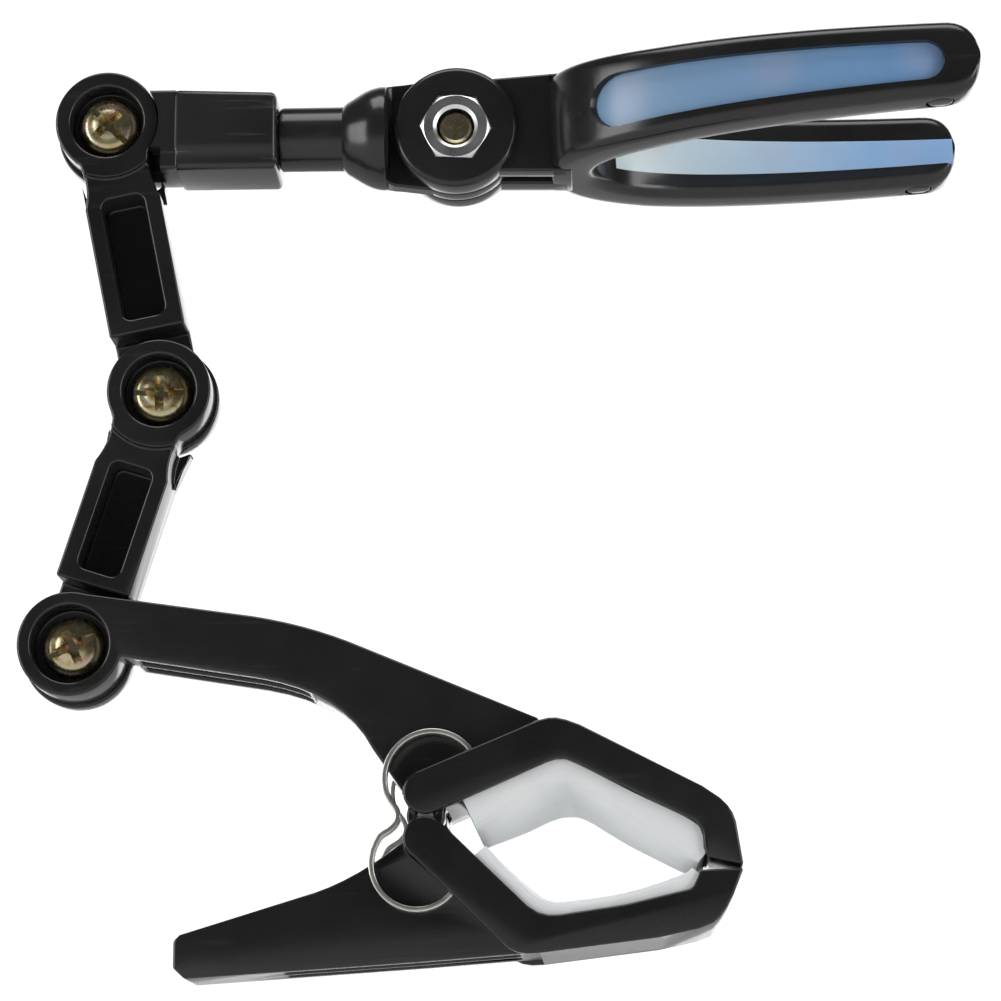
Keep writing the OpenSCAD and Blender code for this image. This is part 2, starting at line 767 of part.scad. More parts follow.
module clip_spring(y0) {
    color(steel) plate(y0, y0 + 1.9) ribbon(spring_line, spring_thickness);
}
module near_clip_spring() { clip_spring(-8.3); }
module far_clip_spring() { clip_spring(6.4); }

upper_clip_half();
lower_clip_half();
clip_pin();
upper_jaw_pad();
lower_jaw_pad();
near_clip_spring();
far_clip_spring();
lower_link();
upper_link();
lower_hinge_screw();
middle_hinge_screw();
upper_hinge_screw();
lower_hinge_nut();
middle_hinge_nut();
upper_hinge_nut();
swivel_block();
swivel_rod();
swivel_washer();
swivel_screw();
head_frame();
head_bolt();
head_nut();
battery_hatch();
coin_cell();
plus_contact();
minus_contact();
led_strip();
led_chips();
near_diffuser();
far_diffuser();
near_switch_button();
far_switch_button();
near_switch_dome();
far_switch_dome();
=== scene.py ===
import json
import math

import bpy
from mathutils import Matrix, Vector


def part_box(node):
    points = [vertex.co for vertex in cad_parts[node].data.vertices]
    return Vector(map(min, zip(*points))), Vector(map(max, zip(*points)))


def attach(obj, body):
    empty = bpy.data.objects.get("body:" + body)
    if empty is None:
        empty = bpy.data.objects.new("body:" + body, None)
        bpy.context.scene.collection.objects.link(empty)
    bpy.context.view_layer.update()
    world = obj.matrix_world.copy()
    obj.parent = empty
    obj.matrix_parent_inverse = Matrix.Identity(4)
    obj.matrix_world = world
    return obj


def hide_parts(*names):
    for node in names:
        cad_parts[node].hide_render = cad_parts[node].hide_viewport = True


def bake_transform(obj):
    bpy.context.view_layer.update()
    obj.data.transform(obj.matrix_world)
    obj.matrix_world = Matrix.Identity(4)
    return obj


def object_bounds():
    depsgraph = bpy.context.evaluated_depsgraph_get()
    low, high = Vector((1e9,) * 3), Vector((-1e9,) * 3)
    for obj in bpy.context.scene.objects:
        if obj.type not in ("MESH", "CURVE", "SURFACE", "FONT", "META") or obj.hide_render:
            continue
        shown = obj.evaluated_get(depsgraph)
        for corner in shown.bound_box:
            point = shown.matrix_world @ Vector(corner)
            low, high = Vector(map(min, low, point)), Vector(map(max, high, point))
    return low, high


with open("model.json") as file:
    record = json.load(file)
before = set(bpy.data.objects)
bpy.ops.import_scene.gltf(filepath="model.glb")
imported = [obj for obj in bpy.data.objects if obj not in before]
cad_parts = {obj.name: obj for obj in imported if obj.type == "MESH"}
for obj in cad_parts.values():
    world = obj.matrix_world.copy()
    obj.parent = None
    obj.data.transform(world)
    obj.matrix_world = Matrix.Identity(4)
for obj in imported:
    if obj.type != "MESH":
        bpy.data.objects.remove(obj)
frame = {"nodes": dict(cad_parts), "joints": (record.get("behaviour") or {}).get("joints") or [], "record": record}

cad_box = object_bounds()
mm = 0.001
body_of_node = {n: b for b, names in frame["record"]["behaviour"]["bodies"].items() for n in names}
hinge = {j["name"]: Vector(j["pos_m"]) for j in frame["joints"] if "pos_m" in j}


# ---------- camera, floor and light ----------

camera_data = bpy.data.cameras.new("camera")
camera_data.lens = 126.44
camera_data.sensor_width = 36
camera_data.shift_y = 0.12
camera_data.clip_start = 0.01
camera = bpy.data.objects.new("camera", camera_data)
bpy.context.scene.collection.objects.link(camera)
camera.location = (0.0080845, -0.449995, -0.048794)
camera.rotation_euler = Vector((-0.04183, 0.98373, 0.17471)).to_track_quat("-Z", "Y").to_euler()
bpy.context.scene.camera = camera
bpy.context.scene.view_settings.view_transform = "Standard"


def soft_box(name, place, aim, size, watts, tint=(1, 1, 1)):
    light = bpy.data.lights.new(name, "AREA")
    light.shape = "RECTANGLE"
    light.size, light.size_y = size
    light.energy = watts
    light.color = tint
    lamp = bpy.data.objects.new(name, light)
    bpy.context.scene.collection.objects.link(lamp)
    lamp.location = place
    lamp.rotation_euler = (Vector(aim) - Vector(place)).to_track_quat("-Z", "Y").to_euler()


middle = (-0.02, 0, 0.05)
soft_box("top_light", (-0.02, -0.15, 0.6), middle, (0.5, 0.3), 1.7)
soft_box("left_light", (-0.58, -0.34, 0.12), middle, (0.25, 0.5), 1.8)
soft_box("right_light", (0.58, -0.34, 0.12), middle, (0.25, 0.5), 1.8)

world = bpy.data.worlds.new("white_studio")
bpy.context.scene.world = world
world.use_nodes = True
sky = world.node_tree
sky.nodes.clear()
to_sky = sky.nodes.new("ShaderNodeOutputWorld")
glow = sky.nodes.new("ShaderNodeBackground")
direction = sky.nodes.new("ShaderNodeTexCoord")
parts_of = sky.nodes.new("ShaderNodeSeparateXYZ")
lean = sky.nodes.new("ShaderNodeMath")
lean.operation = "MULTIPLY_ADD"
lean.inputs[1].default_value = -0.65
fade = sky.nodes.new("ShaderNodeMapRange")
fade.interpolation_type = "SMOOTHSTEP"
glow.inputs["Color"].default_value = (1, 1, 1, 1)
fade.inputs["From Min"].default_value = -0.15
fade.inputs["From Max"].default_value = 0.75
fade.inputs["To Min"].default_value = 0.05
fade.inputs["To Max"].default_value = 2.2
sky.links.new(direction.outputs["Generated"], parts_of.inputs[0])
sky.links.new(parts_of.outputs["Z"], lean.inputs[0])
sky.links.new(parts_of.outputs["Y"], lean.inputs[2])
sky.links.new(lean.outputs[0], fade.inputs["Value"])
seen = sky.nodes.new("ShaderNodeLightPath")
backdrop = sky.nodes.new("ShaderNodeMix")
backdrop.inputs["B"].default_value = 1.1
sky.links.new(seen.outputs["Is Camera Ray"], backdrop.inputs["Factor"])
sky.links.new(fade.outputs["Result"], backdrop.inputs["A"])
sky.links.new(backdrop.outputs["Result"], glow.inputs["Strength"])
sky.links.new(glow.outputs[0], to_sky.inputs[0])

floor_z = cad_box[0][2] - 0.06
bpy.ops.mesh.primitive_plane_add(size=3, location=(0, 0, floor_z))
floor = bpy.context.object
floor.name = "floor"


# ---------- materials ----------

def new_material(name, colour, roughness, metallic=0.0):
    material = bpy.data.materials.new(name)
    material.use_nodes = True
    shader = material.node_tree.nodes["Principled BSDF"]
    shader.inputs["Base Color"].default_value = (*colour, 1)
    shader.inputs["Roughness"].default_value = roughness
    shader.inputs["Metallic"].default_value = metallic
    return material, material.node_tree, shader


def noise(tree, scale, detail=3.0, stretch=(1, 1, 1), turn=(0, 0, 0), distortion=0.0):
    """Noise on Object coordinates, in cycles per metre, drawn out along an axis by stretch."""
    place = tree.nodes.new("ShaderNodeTexCoord")
    mapping = tree.nodes.new("ShaderNodeMapping")
    mapping.inputs["Scale"].default_value = stretch
    mapping.inputs["Rotation"].default_value = [math.radians(a) for a in turn]
    texture = tree.nodes.new("ShaderNodeTexNoise")
    texture.inputs["Scale"].default_value = scale
    texture.inputs["Detail"].default_value = detail
    texture.inputs["Distortion"].default_value = distortion
    tree.links.new(place.outputs["Object"], mapping.inputs["Vector"])
    tree.links.new(mapping.outputs["Vector"], texture.inputs["Vector"])
    return texture.outputs["Fac"]


def ramp(tree, value, stops):
    node = tree.nodes.new("ShaderNodeValToRGB")
    node.color_ramp.elements[0].position, node.color_ramp.elements[0].color = stops[0][0], (*stops[0][1], 1)
    node.color_ramp.elements[1].position, node.color_ramp.elements[1].color = stops[-1][0], (*stops[-1][1], 1)
    for at, colour in stops[1:-1]:
        node.color_ramp.elements.new(at).color = (*colour, 1)
    tree.links.new(value, node.inputs["Fac"])
    return node.outputs["Color"]


def between(tree, value, low, high, start=0.3, end=0.7):
    node = tree.nodes.new("ShaderNodeMapRange")
    node.inputs["From Min"].default_value = start
    node.inputs["From Max"].default_value = end
    node.inputs["To Min"].default_value = low
    node.inputs["To Max"].default_value = high
    tree.links.new(value, node.inputs["Value"])
    return node.outputs["Result"]


def bump(tree, shader, heights):
    """Adds bumps one on another: heights is a list of (value, strength, distance in metres)."""
    below = None
    for value, strength, distance in heights:
        node = tree.nodes.new("ShaderNodeBump")
        node.inputs["Strength"].default_value = strength
        node.inputs["Distance"].default_value = distance
        tree.links.new(value, node.inputs["Height"])
        if below:
            tree.links.new(below, node.inputs["Normal"])
        below = node.outputs["Normal"]
    tree.links.new(below, shader.inputs["Normal"])


def black_moulding(name, base, rough, scratches):
    material, tree, shader = new_material(name, (base, base, base), rough)
    cloud = noise(tree, 70, 4)
    tone = ramp(tree, cloud, [(0.3, (base * 0.75,) * 3),
            (0.7, (base * 1.25, base * 1.25, base * 1.3))])
    streaks = noise(tree, 900, 2, stretch=(0.1, 1, 1.6), turn=(0, 4, 0))
    handled = noise(tree, 110, 2)
    worn = tree.nodes.new("ShaderNodeMath")
    worn.operation = "MULTIPLY"
    tree.links.new(between(tree, streaks, 0, 1, 0.6, 0.7), worn.inputs[0])
    tree.links.new(between(tree, handled, 0, min(1, scratches * 2), 0.48, 0.6), worn.inputs[1])
    marks = tree.nodes.new("ShaderNodeMix")
    marks.data_type = "RGBA"
    marks.inputs["B"].default_value = (0.09, 0.09, 0.095, 1)
    tree.links.new(worn.outputs[0], marks.inputs["Factor"])
    tree.links.new(tone, marks.inputs["A"])
    tree.links.new(marks.outputs["Result"], shader.inputs["Base Color"])
    tree.links.new(between(tree, cloud, rough * 0.92, rough * 1.1), shader.inputs["Roughness"])
    rubs = noise(tree, 420, 2, stretch=(0.12, 1, 2.2), turn=(0, 24, 0))
    bump(tree, shader, [(noise(tree, 2600, 2), 0.05, 0.00001), (rubs, scratches, 0.00001),
            (cloud, 0.1, 0.0001)])
    return material


black = black_moulding("black_plastic", 0.016, 0.19, 0.05)
black_satin = black_moulding("black_plastic_satin", 0.019, 0.25, 0.4)

pale, tree, shader = new_material("pale_pad_rubber", (0.8, 0.8, 0.79), 0.6)
grain = noise(tree, 1400, 5)
mottle = noise(tree, 160, 3)
tree.links.new(ramp(tree, mottle, [(0.3, (0.82, 0.845, 0.855)), (0.7, (0.9, 0.915, 0.92))]),
        shader.inputs["Base Color"])
tree.links.new(between(tree, grain, 0.5, 0.7), shader.inputs["Roughness"])
bump(tree, shader, [(grain, 0.25, 0.00004), (mottle, 0.2, 0.0002)])

yellow_zinc, tree, shader = new_material("yellow_zinc", (0.5, 0.4, 0.2), 0.3, 1.0)
film = noise(tree, 520, 3, distortion=1.2)
tree.links.new(ramp(tree, film,
        [(0.3, (0.34, 0.24, 0.12)), (0.44, (0.62, 0.48, 0.24)), (0.55, (0.55, 0.55, 0.36)),
                                 (0.66, (0.66, 0.42, 0.34)), (0.75, (0.8, 0.7, 0.5))]),
                                 shader.inputs["Base Color"])
tree.links.new(between(tree, film, 0.22, 0.3), shader.inputs["Roughness"])
bump(tree, shader, [(noise(tree, 1100, 2), 0.15, 0.00002)])
worn_zinc = yellow_zinc.copy()
worn_zinc.name = "worn_zinc"

bright_zinc, tree, shader = new_material("bright_zinc", (0.78, 0.79, 0.8), 0.28, 1.0)
tree.links.new(ramp(tree, noise(tree, 300, 4),
        [(0.3, (0.68, 0.69, 0.7)), (0.7, (0.86, 0.87, 0.88))]), shader.inputs["Base Color"])
tree.links.new(between(tree, noise(tree, 500, 2), 0.26, 0.34), shader.inputs["Roughness"])
bump(tree, shader, [(noise(tree, 1400, 2), 0.1, 0.00001)])

spring_steel, tree, shader = new_material("spring_steel", (0.6, 0.585, 0.55), 0.25, 1.0)
draw_lines = noise(tree, 300, 2)
tree.links.new(ramp(tree, draw_lines, [(0.3, (0.74, 0.72, 0.67)), (0.7, (0.86, 0.84, 0.8))]),
        shader.inputs["Base Color"])
tree.links.new(between(tree, draw_lines, 0.3, 0.36), shader.inputs["Roughness"])
bump(tree, shader, [(noise(tree, 1800, 2), 0.05, 0.00001)])

cell_steel, tree, shader = new_material("cell_steel", (0.72, 0.72, 0.7), 0.25, 1.0)
tree.links.new(between(tree, noise(tree, 900, 3), 0.16, 0.32), shader.inputs["Roughness"])
bump(tree, shader, [(noise(tree, 700, 4), 0.1, 0.00003)])

board, tree, shader = new_material("white_board", (0.82, 0.82, 0.78), 0.45)
tree.links.new(ramp(tree, noise(tree, 400, 3),
        [(0.3, (0.76, 0.76, 0.72)), (0.7, (0.86, 0.86, 0.83))]), shader.inputs["Base Color"])
bump(tree, shader, [(noise(tree, 1500, 3), 0.1, 0.00002)])

chip, tree, shader = new_material("led_resin", (0.85, 0.7, 0.35), 0.2)
tree.links.new(ramp(tree, noise(tree, 1200, 2), [(0.3, (0.8, 0.62, 0.25)), (0.7, (0.9, 0.8, 0.5))]),
        shader.inputs["Base Color"])

floor_paint, tree, shader = new_material("floor_paper", (0.9, 0.9, 0.9), 0.8)
tree.links.new(ramp(tree, noise(tree, 30, 4),
        [(0.3, (0.88, 0.88, 0.88)), (0.7, (0.92, 0.92, 0.92))]), shader.inputs["Base Color"])
floor.data.materials.append(floor_paint)


def milky(name, blue, pale_blue, fade_from, fade_to):
    """Milky diffuser plastic, bluer towards the tips, with a painted warm glow over each chip."""
    material, tree, shader = new_material(name, blue, 0.28)
    place = tree.nodes.new("ShaderNodeTexCoord")
    split = tree.nodes.new("ShaderNodeSeparateXYZ")
    tree.links.new(place.outputs["Object"], split.inputs[0])
    along = between(tree, split.outputs["X"], 0, 1, fade_from, fade_to)
    colour = ramp(tree, along, [(0.0, pale_blue), (1.0, blue)])
    drift = noise(tree, 120, 3)
    tint = tree.nodes.new("ShaderNodeMix")
    tint.data_type = "RGBA"
    tint.blend_type = "MULTIPLY"
    tint.inputs["Factor"].default_value = 0.35
    tree.links.new(colour, tint.inputs["A"])
    tree.links.new(ramp(tree, drift, [(0.35, (0.8, 0.84, 0.88)), (0.65, (1, 1, 1))]),
            tint.inputs["B"])
    colour = tint.outputs["Result"]
    # painted glow: the light of each chip through the diffuser is painted into the colour as a warm spot
    for spot in chip_spots:
        distance = tree.nodes.new("ShaderNodeVectorMath")
        distance.operation = "DISTANCE"
        distance.inputs[1].default_value = spot
        tree.links.new(place.outputs["Object"], distance.inputs[0])
        node = tree.nodes.new("ShaderNodeMapRange")
        node.interpolation_type = "SMOOTHERSTEP"
        node.inputs["From Min"].default_value = 0.0018
        node.inputs["From Max"].default_value = 0.0056
        node.inputs["To Min"].default_value = 0.24
        node.inputs["To Max"].default_value = 0
        tree.links.new(distance.outputs["Value"], node.inputs["Value"])
        painted_glow = tree.nodes.new("ShaderNodeMix")
        painted_glow.data_type = "RGBA"
        painted_glow.inputs["B"].default_value = (0.5, 0.46, 0.55, 1)
        tree.links.new(node.outputs["Result"], painted_glow.inputs["Factor"])
        tree.links.new(colour, painted_glow.inputs["A"])
        colour = painted_glow.outputs["Result"]
    tree.links.new(colour, shader.inputs["Base Color"])
    bump(tree, shader, [(noise(tree, 350, 2), 0.1, 0.0001)])
    return material


def islands(node):
    """Middles of the separate solids of a CAD node."""
    mesh = frame["nodes"][node].data
    corners = [v.co for v in mesh.vertices]
    groups = []
    for c in corners:
        for g in groups:
            if (c - g[0]).length < 0.0045:
                g.append(c)
                break
        else:
            groups.append([c])
    return [sum(g, Vector()) / len(g) for g in groups]


chip_spots = islands("led_chips")
# one diffuser plastic in two copies: the far copy is painted much paler than the near one, as painted light on the
# far diffuser
milky_near = milky("milky_diffuser_near", (0.17, 0.34, 0.62), (0.25, 0.41, 0.62), 0.01, 0.045)
milky_far_painted_lighter = milky("milky_diffuser_far", (0.3, 0.5, 0.8), (0.72, 0.84, 0.86), 0.008, 0.04)


# ---------- shared making steps ----------

def alone(piece):
    """Leaves only this piece selected and active, in object mode."""
    if bpy.context.mode != "OBJECT":
        bpy.ops.object.mode_set(mode="OBJECT")
    bpy.ops.object.select_all(action="DESELECT")
    piece.select_set(True)
    bpy.context.view_layer.objects.active = piece


def fresh():
    """Nothing is selected, so the next primitive stands alone."""
    if bpy.context.mode != "OBJECT":
        bpy.ops.object.mode_set(mode="OBJECT")
    bpy.ops.object.select_all(action="DESELECT")


def apply_modifier(piece, kind, **settings):
    alone(piece)
    modifier = piece.modifiers.new(kind.lower(), kind)
    for key, value in settings.items():
        setattr(modifier, key, value)
    bpy.ops.object.modifier_apply(modifier=modifier.name)


def smooth(piece, angle=35):
    alone(piece)
    bpy.ops.object.shade_smooth_by_angle(angle=math.radians(angle))


def soften(piece, round_mm, segments=3, angle=30):
    apply_modifier(piece, "BEVEL", width=round_mm * mm, segments=segments, limit_method="ANGLE",
                   angle_limit=math.radians(angle), use_clamp_overlap=False,
                   miter_outer="MITER_ARC")


def settle(piece):
    """Puts the piece's place and turn into its mesh."""
    alone(piece)
    bpy.ops.object.transform_apply(location=True, rotation=True, scale=True)


def carve(piece, tool, operation="DIFFERENCE"):
    """Cuts the piece with a tool, which is then thrown away."""
    apply_modifier(piece, "BOOLEAN", object=tool, operation=operation, solver="EXACT")
    bpy.data.objects.remove(tool)


def join(pieces, name):
    alone(pieces[0])
    for p in pieces[1:]:
        p.select_set(True)
    if len(pieces) > 1:
        bpy.ops.object.join()
    pieces[0].name = name
    return pieces[0]


def finish_piece(piece, material, body, nodes=(), angle=35):
    settle(piece)
    smooth(piece, angle)
    piece.data.materials.clear()
    piece.data.materials.append(material)
    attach(piece, body)
    if nodes:
        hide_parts(*nodes)
    return piece


def pick_edges(piece, test):
    """In edit mode, selects the edges whose two ends pass the test, given in millimetres."""
    alone(piece)
    bpy.ops.object.mode_set(mode="EDIT")
    bpy.ops.mesh.select_mode(type="EDGE")
    bpy.ops.mesh.select_all(action="DESELECT")
    bpy.ops.object.mode_set(mode="OBJECT")
    points = [v.co / mm for v in piece.data.vertices]
    for edge in piece.data.edges:
        edge.select = test(points[edge.vertices[0]], points[edge.vertices[1]])
    bpy.ops.object.mode_set(mode="EDIT")


def block(low, high, round_mm=0, segments=3):
    """A block between two corners in millimetres, its edges rounded."""
    fresh()
    low, high = Vector(low), Vector(high)
    bpy.ops.mesh.primitive_cube_add(size=1, location=(low + high) / 2 * mm)
    piece = bpy.context.object
    piece.scale = (high - low) * mm
    settle(piece)
    if round_mm:
        soften(piece, round_mm, segments)
    return piece


def round_bar(centre, radius, y0, y1, corners=96, front=0, back=0, segments=4):
    """A round bar along Y in millimetres, its front and back edges rounded."""
    fresh()
    bpy.ops.mesh.primitive_cylinder_add(
        vertices=corners, radius=radius * mm, depth=(y1 - y0) * mm,
        location=(centre[0] * mm, (y0 + y1) / 2 * mm, centre[1] * mm), rotation=(math.pi / 2, 0, 0))
    piece = bpy.context.object
    settle(piece)
    for y, size in ((y0, front), (y1, back)):
        if size:
            pick_edges(piece, lambda a, b: abs(a.y - y) < 0.01 and abs(b.y - y) < 0.01)
            bpy.ops.mesh.bevel(offset=size * mm, segments=segments)
            bpy.ops.object.mode_set(mode="OBJECT")
    return piece


def turned_to(piece, origin, degrees):
    """Turns a piece drawn at the world's origin about Y and carries it to its hinge."""
    alone(piece)
    bpy.ops.transform.rotate(value=-math.radians(degrees), orient_axis="Y",
            center_override=(0, 0, 0))
    piece.location = piece.location + Vector(origin)
    settle(piece)
    return piece


def tube_through(name, outlines):
    """A closed form through a row of outlines with equal numbers of corners, in millimetres."""
    fresh()
    around, rows = len(outlines[0]), len(outlines)
    bpy.ops.mesh.primitive_grid_add(x_subdivisions=around, y_subdivisions=rows - 1, size=1)
    piece = bpy.context.object
    piece.name = name
    for row, outline in enumerate(outlines):
        for column in range(around + 1):
            piece.data.vertices[row * (around + 1) + column].co = Vector(outline[column % around]) * mm
    bpy.ops.object.mode_set(mode="EDIT")
    bpy.ops.mesh.select_all(action="SELECT")
    bpy.ops.mesh.remove_doubles(threshold=1e-6)
    bpy.ops.mesh.select_all(action="SELECT")
    bpy.ops.mesh.fill_holes(sides=0)
    bpy.ops.mesh.select_all(action="SELECT")
    bpy.ops.mesh.normals_make_consistent(inside=False)
    bpy.ops.object.mode_set(mode="OBJECT")
    return piece


def rounded_outline(half_w, half_h, corner, steps=4):
    """Corners of a rounded rectangle about the origin, as (across, up)."""
    corner = min(corner, half_w * 0.9, half_h * 0.9)
    outline = []
    for quarter, (sx, sz) in enumerate(((1, 1), (-1, 1), (-1, -1), (1, -1))):
        for i in range(steps + 1):
            a = math.radians(90 * quarter + 90 * i / steps)
            outline.append((sx * (half_w - corner) + corner * math.cos(a),
                            sz * (half_h - corner) + corner * math.sin(a)))
    return outline


# ---------- the horseshoe ----------

head_hinge = hinge["head_tilt"]
head_turn = Matrix.Rotation(math.radians(-3), 3, "Y")
hx, hz = head_hinge.x / mm, head_hinge.z / mm


def head_point(x, y, z):
    """A point given from the head's hinge, x towards the tips, in millimetres."""
    p = head_turn @ Vector((x, y, z))
    return (p.x + hx, p.y, p.z + hz)


power = 2.3


def band_ends(x):
    """Outer and inner points of the horseshoe's band where its outer curve is at station x."""
    q = (66 - x) / 54
    g = max(0.0, 1 - max(q, 0.0) ** power) ** (1 / power)
    inner_reach = 47.7 if q > 0 else 54
    return (66 - 54 * q, 22.5 * g), (66 - inner_reach * q, 15.8 * g)


tip_from, tip_half, tip_middle, blunt = 62.85, 4.95, -0.6, 2.5


def tip_height(x):
    """Half height of a prong's blunt round tip at station x."""
    t = min(1.0, max(0.0, (x - tip_from) / 4.7))
    return tip_half * max(0.004, 1 - t ** blunt) ** (1 / blunt)


def top_of(x):
    raised = 0.8 * max(0.0, (28 - x) / 16) ** 1.5
    return 6.1 - 1.75 * x / tip_from + raised if x < tip_from else tip_middle + tip_height(x)


def bottom_of(x):
    return -6.7 + 1.15 * max(0, x - 25) / 37.85 if x < tip_from else tip_middle - tip_height(x)


def band_outline(x, side, depth_from, depth_to, low_of, high_of, corner):
    """One cross-section of something that follows the band: depths are counted inwards
    from the outer curve, and low_of and high_of give its height at a station."""
    outer, inner = band_ends(x)
    along = Vector((inner[0] - outer[0], (inner[1] - outer[1])))
    whole = along.length
    depth_to = whole + depth_to if depth_to <= 0 else depth_to
    middle, half = (depth_from + depth_to) / 2, (depth_to - depth_from) / 2
    points = []
    level = x if depth_to - depth_from < whole - 0.5 else None
    mid_x = outer[0] + along.x * middle / whole
    half_h = (high_of(level or mid_x) - low_of(level or mid_x)) / 2
    for across, up in rounded_outline(half, half_h, corner):
        d = middle + across
        px = outer[0] + along.x * d / whole
        py = (outer[1] + along.y * d / whole) * side
        station = level or px
        low, high = low_of(station), high_of(station)
        points.append(head_point(px, py, (low + high) / 2 + up * (high - low) / 2 / half_h))
    return points


def stations(x_from, x_to, count):
    """Stations that crowd together where the band bends and at a round end."""
    a0 = math.acos(min(1, max(0, (66 - x_from) / 54)) ** (power / 2))
    a1 = math.acos(min(1, max(0, (66 - min(x_to, 62.8)) / 54)) ** (power / 2))
    row = [66 - 54 * math.cos(a0 + (a1 - a0) * i / count) ** (2 / power) for i in range(count + 1)]
    return row


tip_row = [tip_from + 4.7 * math.sin(math.radians(a)) ** (2 / blunt) for a in (8, 18, 30, 42, 54,
        65, 75, 82, 87)]
band_row = stations(12, 62.8, 46) + tip_row
outlines = [band_outline(x, -1, 0, 0, bottom_of, top_of, 1.7) for x in reversed(band_row)]
outlines += [band_outline(x, 1, 0, 0, bottom_of, top_of, 1.7) for x in band_row[1:]]
horseshoe = tube_through("horseshoe", outlines)


def window_low(x):
    return window_mid - window_half(x)


def window_high(x):
    return window_mid + window_half(x)


window_mid = -0.85


def window_half(x, shrink=0.0):
    r0, r1 = 3.6 - shrink, 2.6 - shrink
    if x < window_from:
        return math.sqrt(max(0.0004, r0 * r0 - (window_from - x) ** 2))
    if x > window_to:
        return math.sqrt(max(0.0004, r1 * r1 - (x - window_to) ** 2))
    return r0 + (r1 - r0) * (x - window_from) / (window_to - window_from)


window_from, window_to = 21.5, 60.4
window_row = ([window_from - 3.6 * math.cos(math.radians(a)) for a in (1, 10, 20, 32, 45, 60, 75)]
              + [window_from + (window_to - window_from) * i / 24 for i in range(25)]
              + [window_to + 2.6 * math.cos(math.radians(a)) for a in (75, 60, 45, 32, 20, 10, 1)])
for side in (-1, 1):
    cutter = tube_through("window_cutter", [
        band_outline(x, side, -2.5, 2.2, window_low, window_high, 0.02) for x in window_row])
    carve(horseshoe, cutter)

# hatch opening on top, over the cell
hatch_cutter = block((13.15, -5.65, 4.6), (17.65, 5.65, 8))
turned_to(hatch_cutter, head_hinge, -3)
carve(horseshoe, hatch_cutter)
finish_piece(horseshoe, black, "lamp_head", (), 32)

# ears with their discs, and the bridge that joins them to the bend
front_disc = round_bar((0, 0), 8.25, -5.2, -1.45, front=0.9, back=0.3)
nut_seat = round_bar((0, 0), 4.98, -6, -2.45, corners=6)
turned_to(nut_seat, (0, 0, 0), 36)
carve(front_disc, nut_seat)
back_disc = round_bar((0, 0), 8.25, 1.45, 4.9, front=0.3, back=0.7)
head_seat = round_bar((0, 0), 4.8, 3.9, 6)
carve(back_disc, head_seat)
front_ear = block((1, -4.3, -5.95), (14.6, -1.45, 6.45), 0.35)
back_ear = block((1, 1.45, -5.95), (14.6, 4.9, 6.45), 0.35)
bridge = block((12.3, -4.3, -5.95), (15, 4.9, 6.4), 0.3)
for part in (front_ear, back_ear, bridge):
    for v in part.data.vertices:
        flare = 0.3 if v.co.z > 0 else -0.9
        v.co.z += flare * mm * (v.co.x / mm - 1) / 13.6
for part in (front_ear, back_ear):
    bore = round_bar((0, 0), 7.2, -10, 10)
    carve(part, bore)
ears = join([front_disc, back_disc, front_ear, back_ear, bridge], "head_ears")
turned_to(ears, head_hinge, -3)
finish_piece(ears, black, "lamp_head", ("head_frame",), 32)
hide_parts("head_frame")


def strip_low(x):
    return -0.75 - 0.4 * (x - 12) / 55.6 - (2.95 - 1.2 * (x - 12) / 55.6)


def strip_high(x):
    return -0.75 - 0.4 * (x - 12) / 55.6 + (2.95 - 1.2 * (x - 12) / 55.6)


def milky_block(side, name, material, node):
    inner = tube_through(name, [
        band_outline(x, side, 2.0, band_depth(x) + 0.06, strip_low, strip_high, 0.25)
        for x in stations(15, 62.8, 40) + [64, 65.2, 66.4, 67.2]])
    face = tube_through(name + "_face", [
        band_outline(x, side, 0.95, 2.3, lambda v: window_mid - window_half(v, 0.02),
                     lambda v: window_mid + window_half(v, 0.02), 0.02) for x in window_row])
    piece = join([inner, face], name)
    return finish_piece(piece, material, "lamp_head", (node,), 40)


def band_depth(x):
    outer, inner = band_ends(x)
    return math.hypot(inner[0] - outer[0], inner[1] - outer[1])


milky_block(-1, "near_milky_light", milky_near, "near_diffuser")
milky_block(1, "far_milky_light", milky_far_painted_lighter, "far_diffuser")


def moulded(node, name, round_mm, material, segments=3, angle=30, merge_mm=0.004):
    """A copy of a CAD node's mesh, merged, flat faces joined, and its edges rounded."""
    piece = bpy.data.objects.new(name, frame["nodes"][node].data.copy())
    bpy.context.scene.collection.objects.link(piece)
    alone(piece)
    bpy.ops.mesh.customdata_custom_splitnormals_clear()
    bpy.ops.object.mode_set(mode="EDIT")
    bpy.ops.mesh.select_all(action="SELECT")
    bpy.ops.mesh.remove_doubles(threshold=merge_mm * mm)
    bpy.ops.mesh.dissolve_limited(angle_limit=math.radians(0.6))
    bpy.ops.object.mode_set(mode="OBJECT")
    if round_mm:
        soften(piece, round_mm, segments, angle)
    return finish_piece(piece, material, body_of_node[node], (node,))


moulded("upper_clip_half", "upper_clip_body", 0.36, black)
moulded("lower_clip_half", "lower_clip_body", 0.36, black)
jaw_floor = tube_through("jaw_floor", [
    [(x, -8.8, z), (x, 8.8, z), (x, 8.8, z + 1.5), (x, -8.8, z + 1.5)]
    for x, z in ((-5.7, -12.86), (-5.2, -12.8), (9.2, -10.97), (9.8, -10.85))])
finish_piece(jaw_floor, black, "lower_clip")
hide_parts("lower_clip_half")
moulded("lower_link", "lower_link_body", 0.35, black)
moulded("upper_link", "upper_link_body", 0.35, black)


# ---------- turned and swept pieces ----------

